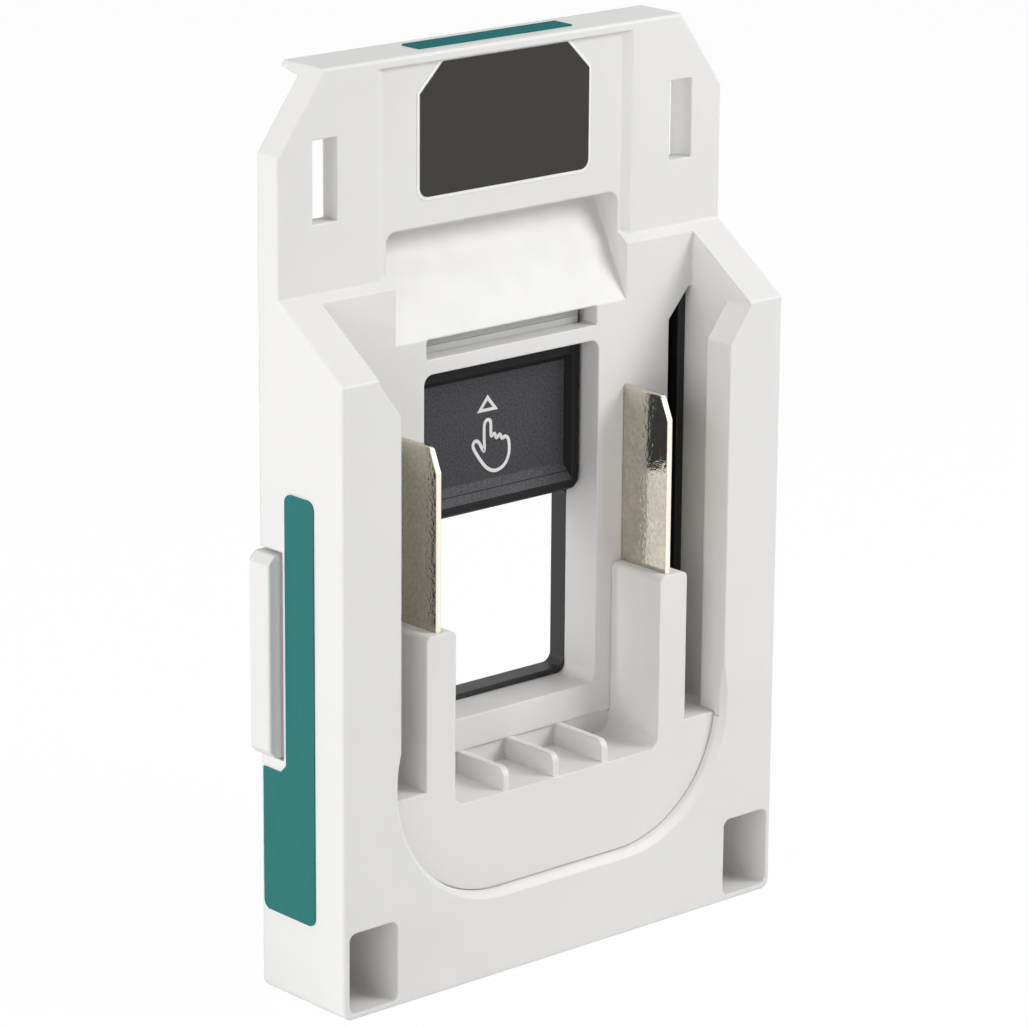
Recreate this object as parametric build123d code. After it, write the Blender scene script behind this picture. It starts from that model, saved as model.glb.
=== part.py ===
from build123d import *
import math
import os

# A slide-on battery adapter: a white moulded housing that a tool battery slides onto from above,
# with two blade terminals, a sprung release slider in a window, and a black cover on its back.
# Millimetres, +Z up. X runs across, -Y is the front. The origin is the middle of the foot.
# Depths are measured forward from the back edge of the housing's skirt.

# Overall sizes. The whole height is RAIL_TOP, SLOPE_TALL and WING_TALL together.
WIDTH = 80.0
SKIRT_DEPTH = 17.4
OVERRUN = 3.0           # how far cutters run past the face they cut
SEAT_GAP = 0.1          # between pieces that are fitted and stay put
RUN_GAP = 0.3           # between pieces that slide on each other
DIAGONAL_SHARE = math.sqrt(2)  # upright thickness of a wall slanted at 45 degrees, over the wall

# Housing: outline
RAIL_TOP = 88.6         # front top of the rails
SLOPE_TALL = 9.1        # rise of the rails' slanted top, up to the thin plate
WING_TALL = 30.1        # height of the thin plate above the rails
WING_DEPTH = 4.2        # front of that plate
CORNER_WIDE = 7.9       # the two cut corners at the top
CORNER_TALL = 10.9
LIP_OVERHANG = 4.1      # the top edge runs back past the skirt
LIP_TIP = 0.7
LIP_ROOT = 1.4
FOOT_ROUND = 1.5
EDGE_ROUND = 0.45
WALL = 1.9

# Housing: the channel that the battery slides in
FLOOR_DEPTH = 5.5
FLOOR_THICK = 2.2
LIP_WIDE = 10.0         # from the outer side to the lip's inner edge
RAIL_WIDE = 6.3         # from the outer side to the channel's wall
RAIL_THICK = 4.7
LEAD_TALL = 5.0         # the slanted lead-in at the top of each lip
LEAD_DROP = 0.5
CHANNEL_FOOT = 28.3
SHELF_THICK = 1.8
SLOT_MARGIN = 0.7       # the floor opening under a lip is wider than the lip
SLOT_RISE = 0.8         # and ends this far above the top of the lead-in

# Housing: the round-bottomed opening that shows the terminal block, as wide as the gap of the lips
CRADLE_FOOT = 12.2
CRADLE_ROUND = 18.6
CRADLE_EDGE = 0.8
FRONT_THICK = 2.0

# Housing: label recess and latch recess
LABEL_RECESS_DROP = 0.7
LABEL_RECESS_WIDE = 43.0
LABEL_RECESS_BEVEL = 1.4
LABEL_RECESS_TOP = 1.3  # strip left between the recess and the top edge
CATCH_WIDE = 42.0
CATCH_RISE = 6.3        # top of the latch recess, above the foot of the thin plate
CATCH_LIFT = 0.2        # its foot, above the front top of the rails
CATCH_BAND = 1.7        # upright band above the ramp
CATCH_DEEP = 6.7        # how far the ramp falls behind the channel floor
CATCH_WALL = 1.3
CATCH_ROUND = 1.6

# Housing: window, and the thin slot above it
PEEP_TALL = 2.8
PEEP_SIDE = 0.4         # the thin slot is narrower than the window on each side
BAR_TALL = 2.1          # height and thickness of the bar between slot and window
BAR_DEPTH = 2.9
WINDOW_SIDE = 5.2       # from the window's side to the middle of a blade
WINDOW_LIFT = 5.3       # foot of the window, above the foot of the channel
WINDOW_ROUND = 1.5
WINDOW_WALL = 1.6

# Housing: slots in the thin plate, and pockets in the foot
WING_SLOT_WIDE = 4.2
WING_SLOT_IN = 5.8      # from the outer side
WING_SLOT_LIFT = 9.5    # above the foot of the plate
WING_SLOT_DROP = 9.3    # below the top edge
WING_WALL = 2.9
WING_RIB = 1.2          # upright rib behind the plate, along the outer side of each slot
POCKET_WIDE = 8.5
POCKET_FOOT = 0.9
POCKET_TALL = 11.6
POCKET_SIDE = 0.9
POCKET_DEEP = 12.9
POCKET_ROUND = 1.2
POCKET_WALL = 1.2

# Rear cover
COVER_THICK = 3.1
COVER_FRONT = -1.0      # its front face, on the housing's seating ribs
COVER_EDGE = 0.5        # its edge stands this far inside the ribs' outer side
COVER_ROUND = 2.5
COVER_BEVEL = 0.8
COVER_SILL = 0.9        # the cover's window starts this far above the housing's
COVER_WINDOW_DROP = 0.8 # and ends this far below the slider
SEAT_FOOT = 2.2
BLIND_THICK = 1.3       # upright ribs that stand in the slots under the lips
BLIND_SINK = 1.2        # behind the face of the channel's floor

# Release slider, latch bar and springs
SLIDER_TALL = 22.6
SLIDER_OVERLAP = 0.5    # how far the slider reaches up behind the bar above the window
SLIDER_FRONT = 2.3
SLIDER_BACK = -0.8
SLIDER_WEB = 1.7
SLIDER_RIM = 1.5
SLIDER_ROUND = 1.6
SLIDER_EDGE = 0.4
TRAY_SIDE = 0.7         # widths of the tray's slanted walls, at the sides, top and foot
TRAY_TOP = 1.1
TRAY_FOOT = 1.1
TRAY_STEP = 0.15        # the foot has two slants with a small step between
TRAVEL = 5.0
FLANGE_WIDE = 6.4       # the guide flanges, out from the tray
FLANGE_LIFT = 0.8
FLANGE_TALL = 13.4
FLANGE_FRONT = 1.1
STUD_ROUND = 0.6
STUD_TALL = 2.6
STUD_IN = 3.0
LATCH_TALL = 5.6
LATCH_UPRIGHT = 2.5     # the latch bar's front is upright up to here, then leans back
LATCH_STEP = 0.25
LATCH_TOP_FRONT = 0.7
LATCH_CORNER = 0.8
HOOK_X = 8.2
HOOK_WIDE = 5.0
HOOK_NECK = 2.6
HOOK_REACH = 3.0
HOOK_TIP = 1.3
HOOK_DROP = 1.9
SPRING_OUT = 4.3        # middle of the spring, out from the tray
SPRING_DEPTH = 1.15
SPRING_SEAT_LIFT = 1.7  # the springs' upper seats, above the foot of the latch recess
SPRING_ROUND = 1.6      # middle of the wire
SPRING_WIRE = 0.5
SPRING_TURNS = 5
SPRING_RUNS = 12        # short straight runs in one turn
SPRING_SIDES = 4
SPRING_SEAT = 1.5

# Terminal block
BLOCK_SINK = 1.75       # behind the front of the housing
BLOCK_BACK = 3.5
BLOCK_WALL = 2.0
SHOULDER_RISE = 0.5     # above the foot of the channel
NOTCH_DROP = 2.6        # below it
NOTCH_ROUND = 1.8
LEG_SIDE = 2.3          # from the middle of a blade to the leg's inner side
LEG_WIDE = 5.15
LEG_TALL = 22.6         # above the foot of the channel
LEG_ROUND = 0.8
FLANGE_LIP = 1.2
FLANGE_THICK = 1.6
FLANGE_DROP = 3.3       # top of the block's flange, below the foot of the channel
RIB_TALL = 3.2
RIB_THICK = 1.1
RIB_PITCH = 9.2
RIB_COUNT = 3
RIB_BACK_OFF = 0.5
RIB_ROUND = 1.4

# Blades, bus bars and rear contacts
BLADE_SIDE = 18.8       # from the outer side to the middle of a blade
BLADE_THICK = 0.9
BLADE_SINK = 2.5        # behind the front of the housing
BLADE_TALL = 25.7       # above its leg
BLADE_CUT_DEEP = 1.5
BLADE_CUT_TALL = 3.4
BLADE_ROUND = 0.8
BLADE_FOOT_DROP = 17.9  # the wide part's foot, below the leg's top
TAIL_SINK = 2.65        # behind the front of the block
TAIL_DEEP = 4.8
TAIL_LIFT = 6.0         # above the foot of the opening
BUS_TALL = 3.8
BUS_THICK = 0.8
BUS_SINK = 2.8          # behind the front of the tails
BUS_END = 6.4
RIVET_ROUND = 0.8
RIVET_HEAD = 1.3
RIVET_CAP = 0.5
CONTACT_X = 8.0
CONTACT_GAP = 0.9       # between the two leaves, where a blade goes
CONTACT_SHEET = 0.5
CONTACT_BACK = 0.4
CONTACT_MOUTH = 1.9
CARRIER_SIDE = 5.0      # outside, below and above the contacts
CARRIER_BELOW = 2.6
CARRIER_ABOVE = 1.5
CARRIER_SINK = 1.0      # behind the bus bars
CARRIER_POCKET = 3.4
CONTACT_SLOT_WIDE = 1.6

# Guide keys on both sides
KEY_OUT = 2.1
KEY_FOOT = 34.5
KEY_TALL = 28.5
KEY_FRONT = 4.2
KEY_BEVEL = 1.2
KEY_GAP = 0.45
KEY_FLANGE = 1.8
KEY_FLANGE_GROW = 2.4

# Screws: places from the channel's wall, the seat's top and the foot
SCREW_SHANK = 1.4
SCREW_HOLE = 1.5
SCREW_HEAD = 2.6
SCREW_CAP = 1.5
SCREW_LONG = 6.0
BOSS_ROUND = 3.1
HEAD_ROOM = 0.2
TOP_SCREW_IN = 5.5
TOP_SCREW_DROP = 5.8
MIDDLE_SCREW_IN = 9.7
MIDDLE_SCREW_HIGH = 47.0
LOW_SCREW_IN = 2.2
LOW_SCREW_HIGH = 16.5

# Labels
LABEL_THICK = 0.25
PLATE_HALF = 15.2
PLATE_LIFT = 4.05       # above the latch recess
PLATE_DROP = 1.6        # below the top edge
PLATE_CUT = 4.0
PLATE_ROUND = 1.4
SIDE_LABEL_WIDE = 6.0
SIDE_LABEL_OFF = 1.2    # in front of the guide key
SIDE_LABEL_RISE = 8.9   # above the guide key
SIDE_LABEL_FOOT = 12.0
SIDE_LABEL_DROP = 2.1   # the label widens this far below the guide key
SIDE_LABEL_GROW = 4.9
SIDE_LABEL_ROUND = 1.3
TOP_LABEL_HALF = 13.7
TOP_LABEL_BACK = -1.9
TOP_LABEL_FRONT = 1.7

# Depths and widths worked out from the sizes above
HALF = WIDTH / 2
COVER_BACK = COVER_FRONT - COVER_THICK
MIDDLE = (SKIRT_DEPTH + min(COVER_BACK, -LIP_OVERHANG)) / 2
LIP_X = HALF - LIP_WIDE
WALL_X = HALF - RAIL_WIDE
RIB_X = WALL_X + WALL
SKIRT_X = HALF - WALL
LIP_DEPTH = SKIRT_DEPTH - RAIL_THICK
FLOOR_BACK = FLOOR_DEPTH - FLOOR_THICK
FRONT_BACK = SKIRT_DEPTH - FRONT_THICK
LABEL_DEPTH = WING_DEPTH - LABEL_RECESS_DROP
WING_BACK = WING_DEPTH - WING_WALL
COVER_X = RIB_X - COVER_EDGE
BLOCK_DEPTH = SKIRT_DEPTH - BLOCK_SINK
BLADE_X = HALF - BLADE_SIDE
BLADE_BACK = FLOOR_DEPTH + SEAT_GAP
BLADE_FRONT = SKIRT_DEPTH - BLADE_SINK
TAIL_FRONT = BLOCK_DEPTH - TAIL_SINK
TAIL_BACK = TAIL_FRONT - TAIL_DEEP
BUS_FRONT = TAIL_FRONT - BUS_SINK
CARRIER_FRONT = BUS_FRONT - BUS_THICK - CARRIER_SINK
LEG_IN = BLADE_X - LEG_SIDE
LEG_OUT = LEG_IN + LEG_WIDE
WINDOW_X = BLADE_X - WINDOW_SIDE
SLIDER_X = WINDOW_X - RUN_GAP - SEAT_GAP
FLANGE_X = SLIDER_X + FLANGE_WIDE
SPRING_X = SLIDER_X + SPRING_OUT
STUD_X = SLIDER_X - STUD_IN
STUD_DEPTH = (SLIDER_BACK + SLIDER_FRONT) / 2
SIDE_LABEL_BACK = KEY_FRONT + SIDE_LABEL_OFF

# Heights worked out from the sizes above
WING_FOOT = RAIL_TOP + SLOPE_TALL
HEIGHT = WING_FOOT + WING_TALL
LEAD_TOP = RAIL_TOP - LEAD_DROP
SLOT_TOP = LEAD_TOP + SLOT_RISE
CATCH_FOOT = RAIL_TOP + CATCH_LIFT
CATCH_TOP = WING_FOOT + CATCH_RISE
RAMP_TOP = CATCH_TOP - CATCH_BAND
PEEP_FOOT = CATCH_FOOT - PEEP_TALL
WINDOW_TOP = PEEP_FOOT - BAR_TALL
WINDOW_FOOT = CHANNEL_FOOT + WINDOW_LIFT
SEAT_TOP = WING_FOOT + SEAT_GAP
COVER_FOOT = SEAT_FOOT + COVER_EDGE
COVER_TOP = SEAT_TOP - COVER_EDGE
SLIDER_TOP = WINDOW_TOP + SLIDER_OVERLAP
SLIDER_FOOT = SLIDER_TOP - SLIDER_TALL
FLANGE_FOOT = SLIDER_FOOT + FLANGE_LIFT
FLANGE_TOP = FLANGE_FOOT + FLANGE_TALL
SPRING_TOP = CATCH_FOOT + SPRING_SEAT_LIFT
SHOULDER_TOP = CHANNEL_FOOT + SHOULDER_RISE
NOTCH_FLOOR = CHANNEL_FOOT - NOTCH_DROP
LEG_TOP = CHANNEL_FOOT + LEG_TALL
BLADE_TOP = LEG_TOP + BLADE_TALL
BLADE_WIDE_FOOT = LEG_TOP - BLADE_FOOT_DROP
TAIL_FOOT = CRADLE_FOOT + TAIL_LIFT
BUS_TOP = TAIL_FOOT + BUS_TALL
CARRIER_FOOT = TAIL_FOOT - CARRIER_BELOW
CARRIER_TOP = BUS_TOP + CARRIER_ABOVE
KEY_TOP = KEY_FOOT + KEY_TALL
PLATE_FOOT = CATCH_TOP + PLATE_LIFT
PLATE_TOP = HEIGHT - PLATE_DROP

# Slants, as rise over depth and depth over rise
SLOPE_SHARE = SLOPE_TALL / (SKIRT_DEPTH - WING_DEPTH)
RAMP_SHARE = CATCH_DEEP / (RAMP_TOP - CATCH_FOOT)

SCREW_PLACES = [(WALL_X - TOP_SCREW_IN, SEAT_TOP - TOP_SCREW_DROP),
                (WALL_X - MIDDLE_SCREW_IN, MIDDLE_SCREW_HIGH),
                (WALL_X - LOW_SCREW_IN, LOW_SCREW_HIGH)]


def slope_height(depth):
    """Height of the slanted top of the rails at a depth."""
    return RAIL_TOP + (SKIRT_DEPTH - depth) * SLOPE_SHARE


def slot_height(x):
    """Height of the slanted top of the slot under a lip at an x."""
    rise_share = (LEAD_TALL - SLOT_MARGIN) / (WALL_X - LIP_X)
    return SLOT_TOP - (WALL_X - SLOT_MARGIN - x) * rise_share


# Building helpers, in x, depth and z
def box(x0, x1, d0, d1, z0, z1):
    """A box between two x, two depths and two heights."""
    middle = Location(((x0 + x1) / 2, MIDDLE - (d0 + d1) / 2, (z0 + z1) / 2))
    return middle * Box(x1 - x0, d1 - d0, z1 - z0)


def pair(solid):
    """A solid and its mirror image on the other side."""
    return [solid, mirror(solid, about=Plane.YZ)]


def forward(sketch, d0, d1):
    """A sketch drawn in x and z, drawn out from one depth to another."""
    return extrude(Plane.XZ.offset(d0 - MIDDLE) * sketch, d1 - d0)


def across(points, x0, x1):
    """An outline of depths and heights, drawn out across from one x to another."""
    line = Polyline(*[(MIDDLE - d, z) for d, z in points], close=True)
    return extrude(Plane.YZ.offset(x0) * make_face(line), x1 - x0)


def upward(points, z0, z1):
    """An outline of x and depths, drawn out from one height to another."""
    line = Polyline(*[(x, MIDDLE - d) for x, d in points], close=True)
    return extrude(Plane.XY.offset(z0) * make_face(line), z1 - z0)


def outline(points):
    """A face in x and z from its corners."""
    return make_face(Polyline(*points, close=True))


def panel(x0, x1, z0, z1, radius):
    """A rectangle in x and z with round corners."""
    face = Rectangle(x1 - x0, z1 - z0)
    return Pos((x0 + x1) / 2, (z0 + z1) / 2) * fillet(face.vertices(), radius)


def rod(x, z, radius, d0, d1):
    """A round bar along the depth."""
    return forward(Pos(x, z) * Circle(radius), d0, d1)


def join(solids):
    """All solids of a list in one."""
    whole = solids[0]
    for solid in solids[1:]:
        whole = whole + solid
    return whole


def place_edges(solid, depth, axis):
    """Edges of a solid that lie at one depth and run along one axis."""
    level = MIDDLE - depth
    near = SEAT_GAP / 2
    return [e for e in solid.edges().filter_by(axis) if abs(e.center().Y - level) < near]


def cradle(inset, top):
    """The round-bottomed outline of the opening, drawn in by an inset, up to a height."""
    half = LIP_X - inset
    foot = CRADLE_FOOT + inset
    bend = CRADLE_ROUND - inset
    high = foot + bend * 2
    face = outline([(-half, foot), (half, foot), (half, high), (-half, high)])
    face = fillet([v for v in face.vertices() if v.Y < foot + bend], bend)
    return face & outline([(-half, foot), (half, foot), (half, top), (-half, top)])


# Housing
def housing_blank():
    """The outer form, with its slanted rails, thin upper plate, cut corners and rear lip."""
    profile = [(0, 0), (SKIRT_DEPTH, 0), (SKIRT_DEPTH, RAIL_TOP), (WING_DEPTH, WING_FOOT),
               (WING_DEPTH, HEIGHT),
               (-LIP_OVERHANG, HEIGHT), (-LIP_OVERHANG, HEIGHT - LIP_TIP), (0, HEIGHT - LIP_ROOT)]
    blank = across(profile, -HALF, HALF)
    corner = outline([(HALF, HEIGHT - CORNER_TALL), (HALF - CORNER_WIDE, HEIGHT),
                      (HALF - CORNER_WIDE, HEIGHT + OVERRUN), (HALF + OVERRUN, HEIGHT + OVERRUN),
                      (HALF + OVERRUN, HEIGHT - CORNER_TALL)])
    for cutter in pair(forward(corner, -LIP_OVERHANG - OVERRUN, SKIRT_DEPTH + OVERRUN)):
        blank -= cutter
    feet = [e for e in blank.edges().filter_by(Axis.Y) if e.center().Z < FOOT_ROUND]
    blank = fillet(feet, FOOT_ROUND)
    level = MIDDLE - SEAT_GAP
    return fillet([e for e in blank.edges() if e.center().Y < level], EDGE_ROUND)


def channel_cutters():
    """The battery's channel: between the lips, behind the lips, and the opening below."""
    top = WING_FOOT + OVERRUN
    front = SKIRT_DEPTH + OVERRUN
    low = LEAD_TOP - LEAD_TALL
    mouth = outline([(-LIP_X, CHANNEL_FOOT), (LIP_X, CHANNEL_FOOT), (LIP_X, low), (WALL_X, LEAD_TOP),
                     (WALL_X, top), (-WALL_X, top), (-WALL_X, LEAD_TOP), (-LIP_X, low)])
    behind = box(-WALL_X, WALL_X, FLOOR_DEPTH, LIP_DEPTH, CHANNEL_FOOT, top)
    return [forward(mouth, FLOOR_DEPTH, front), behind]


def hollow_cutters():
    """The hollows on the back: behind the floor, in the rails, behind the plate and in the foot."""
    back = COVER_FRONT - OVERRUN
    foot = SEAT_FOOT + WALL
    top = SEAT_TOP - WALL
    behind_floor = box(-WALL_X, WALL_X, back, FLOOR_BACK, foot, top)
    low = box(-WALL_X, WALL_X, back, FRONT_BACK, foot, CHANNEL_FOOT - SHELF_THICK)
    rail_front = SKIRT_DEPTH - WALL
    rail_top = slope_height(rail_front) - WALL * DIAGONAL_SHARE
    rail = [(back, WALL), (rail_front, WALL), (rail_front, rail_top), (back, rail_top)]
    rails = pair(across(rail, RIB_X, SKIRT_X))
    low_top = HEIGHT - LIP_ROOT - WALL
    side_top = HEIGHT - CORNER_TALL - WALL / 2
    run = (low_top - side_top) * CORNER_WIDE / CORNER_TALL
    plate = outline([(-SKIRT_X, SEAT_TOP), (SKIRT_X, SEAT_TOP), (SKIRT_X, side_top),
                     (SKIRT_X - run, low_top),
                     (run - SKIRT_X, low_top), (-SKIRT_X, side_top)])
    return [behind_floor, low, *rails, forward(plate, back, WING_BACK)]


def housing_ribs():
    """Walls inside: seating ribs, window walls, ramp box, pocket walls, screw bosses and spring seats."""
    ring = outline([(-RIB_X, SEAT_FOOT), (RIB_X, SEAT_FOOT), (RIB_X, SEAT_TOP), (-RIB_X, SEAT_TOP)])
    ring -= outline([(-WALL_X, SEAT_FOOT + WALL), (WALL_X, SEAT_FOOT + WALL), (WALL_X, SEAT_TOP - WALL),
                     (-WALL_X, SEAT_TOP - WALL)])
    half = WINDOW_X + WINDOW_WALL
    tube = box(-half, half, COVER_FRONT, FLOOR_DEPTH - WALL / 2, WINDOW_FOOT - WINDOW_WALL,
               SEAT_TOP - WALL / 2)
    wide = CATCH_WIDE / 2 + CATCH_WALL
    deep = FLOOR_DEPTH - CATCH_DEEP
    ramp = across([(FLOOR_DEPTH - EDGE_ROUND, CATCH_FOOT), (FLOOR_DEPTH - CATCH_WALL, CATCH_FOOT),
                   (deep - CATCH_WALL, RAMP_TOP), (deep - CATCH_WALL, CATCH_TOP + CATCH_WALL),
                   (WING_BACK + WALL / 2, CATCH_TOP + CATCH_WALL), (FLOOR_BACK + EDGE_ROUND, WING_FOOT)],
                  -wide, wide)
    ribs = [forward(ring, COVER_FRONT, FLOOR_BACK + WALL / 2), tube, ramp]
    pocket = box(HALF - POCKET_SIDE - POCKET_WIDE - POCKET_WALL, SKIRT_X + WALL / 2,
                 SKIRT_DEPTH - POCKET_DEEP - POCKET_WALL, SKIRT_DEPTH - WALL / 2,
                 WALL / 2, POCKET_FOOT + POCKET_TALL + POCKET_WALL)
    seat = box(SPRING_X - SPRING_ROUND - SPRING_WIRE, SPRING_X + SPRING_ROUND + SPRING_WIRE,
               COVER_FRONT + SEAT_GAP, FLOOR_BACK + WALL / 2, SPRING_TOP, SPRING_TOP + SPRING_SEAT)
    side = HALF - WING_SLOT_IN
    slot_rib = box(side, side + WING_RIB, 0, WING_BACK + WALL / 2, WING_FOOT + WING_SLOT_LIFT - WING_RIB,
                   HEIGHT - WING_SLOT_DROP + WING_RIB)
    ribs += pair(pocket) + pair(seat) + pair(slot_rib)
    for x, z in SCREW_PLACES:
        deep_boss = z < CHANNEL_FOOT
        end = FRONT_BACK + WALL / 2 if deep_boss else FLOOR_BACK + WALL / 2
        ribs += pair(rod(x, z, BOSS_ROUND, COVER_FRONT, end))
    return ribs


def housing_openings():
    """What goes through the finished walls: window, thin slot, latch recess, slots, pockets and holes."""
    front = SKIRT_DEPTH + OVERRUN
    back = COVER_FRONT - OVERRUN
    window = forward(panel(-WINDOW_X, WINDOW_X, WINDOW_FOOT, WINDOW_TOP, WINDOW_ROUND), back, front)
    bar_back = FLOOR_DEPTH - BAR_DEPTH
    under = FLOOR_DEPTH - CATCH_WALL - SEAT_GAP
    lid = SEAT_TOP - WALL
    meet = CATCH_FOOT + (under - bar_back) / RAMP_SHARE
    reach = (lid - CATCH_FOOT) * RAMP_SHARE
    room = across([(back, SLIDER_FOOT), (bar_back, SLIDER_FOOT), (bar_back, meet), (under - reach, lid),
                   (back, lid)],
                  -WINDOW_X, WINDOW_X)
    flange = box(-FLANGE_X - RUN_GAP, FLANGE_X + RUN_GAP, back, FLANGE_FRONT + RUN_GAP, FLANGE_FOOT,
                 FLANGE_TOP + TRAVEL + WALL)
    peep_x = WINDOW_X - PEEP_SIDE
    peep = forward(panel(-peep_x, peep_x, PEEP_FOOT, CATCH_FOOT, EDGE_ROUND), SLIDER_FRONT, front)
    deep = FLOOR_DEPTH - CATCH_DEEP
    recess = across([(FLOOR_DEPTH, CATCH_FOOT), (deep, RAMP_TOP), (deep, CATCH_TOP), (front, CATCH_TOP),
                     (front, CATCH_FOOT)], -CATCH_WIDE / 2, CATCH_WIDE / 2)
    tops = [e for e in recess.edges().filter_by(Axis.Y) if e.center().Z > CATCH_TOP - CATCH_ROUND]
    recess = fillet(tops, CATCH_ROUND)
    cutters = [window, room, flange, peep, recess]
    side = HALF - WING_SLOT_IN
    slot = box(side - WING_SLOT_WIDE, side, back, front, WING_FOOT + WING_SLOT_LIFT, HEIGHT - WING_SLOT_DROP)
    outer = HALF - POCKET_SIDE
    pocket = forward(panel(outer - POCKET_WIDE, outer, POCKET_FOOT, POCKET_FOOT + POCKET_TALL, POCKET_ROUND),
                     SKIRT_DEPTH - POCKET_DEEP, front)
    tool = outline([(LIP_X - SLOT_MARGIN, CHANNEL_FOOT), (WALL_X, CHANNEL_FOOT), (WALL_X, SLOT_TOP),
                    (WALL_X - SLOT_MARGIN, SLOT_TOP),
                    (LIP_X - SLOT_MARGIN, slot_height(LIP_X - SLOT_MARGIN))])
    notch = box(SKIRT_X - OVERRUN, HALF + OVERRUN, back, KEY_FRONT + KEY_GAP, KEY_FOOT - KEY_GAP,
                KEY_TOP + KEY_GAP)
    notch &= box(RIB_X, HALF + OVERRUN, back, front, 0, HEIGHT)
    for cutter in (slot, pocket, forward(tool, back, FLOOR_DEPTH + EDGE_ROUND), notch):
        cutters += pair(cutter)
    for x, z in SCREW_PLACES:
        cutters += pair(rod(x, z, SCREW_HOLE, back, COVER_FRONT + SCREW_LONG - SCREW_CAP))
    return cutters


def front_housing():
    """The white moulding that everything else is fitted to."""
    housing = housing_blank()
    for cutter in channel_cutters() + hollow_cutters():
        housing -= cutter
    half = LABEL_RECESS_WIDE / 2
    top = HEIGHT - LABEL_RECESS_TOP
    beyond = WING_DEPTH + OVERRUN
    drop = LABEL_RECESS_DROP
    bevel = LABEL_RECESS_BEVEL
    low = slope_height(LABEL_DEPTH)
    housing += join(housing_ribs())
    plan = [(-half, LABEL_DEPTH), (half, LABEL_DEPTH), (half + bevel, WING_DEPTH), (half + bevel, beyond),
            (-half - bevel, beyond), (-half - bevel, WING_DEPTH)]
    recess = upward(plan, low - OVERRUN, top)
    recess &= across([(LABEL_DEPTH - drop, slope_height(LABEL_DEPTH - drop)), (beyond, slope_height(beyond)),
                      (beyond, top), (LABEL_DEPTH - drop, top)], -HALF, HALF)
    housing -= recess
    housing -= forward(cradle(0, SHOULDER_TOP + SEAT_GAP), FLOOR_BACK - SEAT_GAP, SKIRT_DEPTH + OVERRUN)
    bend_top = CRADLE_FOOT + CRADLE_ROUND / 2
    front = MIDDLE - SKIRT_DEPTH + SEAT_GAP
    rims = [e for e in housing.edges() if e.center().Y < front and abs(e.center().X) < LIP_X
            and CRADLE_FOOT - SEAT_GAP < e.center().Z < bend_top]
    housing = chamfer(rims, CRADLE_EDGE)
    for cutter in housing_openings():
        housing -= cutter
    return housing


# Rear cover
def rear_cover():
    """The black plate on the back, with the window, hook openings, contact slots and screw seats."""
    plate = forward(panel(-COVER_X, COVER_X, COVER_FOOT, COVER_TOP, COVER_ROUND), COVER_BACK, COVER_FRONT)
    ear = box(0, SKIRT_X - SEAT_GAP, COVER_BACK, COVER_FRONT, KEY_FOOT + KEY_FLANGE_GROW,
              KEY_TOP - KEY_FLANGE_GROW)
    plate += join(pair(ear))
    plate = chamfer(place_edges(plate, COVER_BACK, Axis.Z) + place_edges(plate, COVER_BACK, Axis.X),
                    COVER_BEVEL)
    post_x = LIP_X - SEAT_GAP - BLOCK_WALL
    post = box(post_x, post_x + BLOCK_WALL, COVER_FRONT - SEAT_GAP, BLOCK_BACK,
               CRADLE_FOOT + CRADLE_ROUND / 2 + WALL,
               SHOULDER_TOP - WALL)
    outer = WALL_X - SEAT_GAP
    inner = outer - BLIND_THICK
    top = SLOT_TOP - SEAT_GAP
    blind = outline([(inner, CHANNEL_FOOT + SEAT_GAP), (outer, CHANNEL_FOOT + SEAT_GAP), (outer, top),
                     (WALL_X - SLOT_MARGIN, top), (inner, slot_height(inner) - SEAT_GAP * 2)])
    blind = forward(blind, COVER_FRONT - SEAT_GAP, FLOOR_DEPTH - BLIND_SINK)
    cover = plate + join(pair(post)) + join(pair(blind))
    back = COVER_BACK - OVERRUN
    front = COVER_FRONT + OVERRUN
    cover -= forward(panel(-WINDOW_X, WINDOW_X, WINDOW_FOOT + COVER_SILL, SLIDER_FOOT - COVER_WINDOW_DROP,
                           WINDOW_ROUND), back, front)
    hook_half = HOOK_WIDE / 2 + RUN_GAP
    hook = box(HOOK_X - hook_half, HOOK_X + hook_half, back, front, SLIDER_TOP - HOOK_DROP,
               SLIDER_TOP + LATCH_TALL + TRAVEL + RUN_GAP * 2)
    wide = CONTACT_SLOT_WIDE / 2
    slot = box(CONTACT_X - wide, CONTACT_X + wide, back, front, CARRIER_FOOT + CONTACT_SLOT_WIDE / 2,
               CARRIER_TOP - CONTACT_SLOT_WIDE / 2)
    cutters = pair(hook) + pair(slot)
    for x, z in SCREW_PLACES:
        cutters += pair(rod(x, z, SCREW_HOLE, back, front))
        cutters += pair(rod(x, z, SCREW_HEAD + HEAD_ROOM, back, COVER_BACK + SCREW_CAP + HEAD_ROOM))
    for cutter in cutters:
        cover -= cutter
    return cover


def cover_screw(x, z):
    """One pan-head screw, its head sunk in the cover."""
    seat = COVER_BACK + SCREW_CAP + HEAD_ROOM
    head = rod(x, z, SCREW_HEAD, seat - SCREW_CAP, seat)
    return head + rod(x, z, SCREW_SHANK, seat - SCREW_CAP / 2, seat + SCREW_LONG - SCREW_CAP)


def cover_screws():
    """All six cover screws."""
    screws = []
    for x, z in SCREW_PLACES:
        screws += [cover_screw(x, z), cover_screw(-x, z)]
    return Compound(children=screws)


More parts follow.
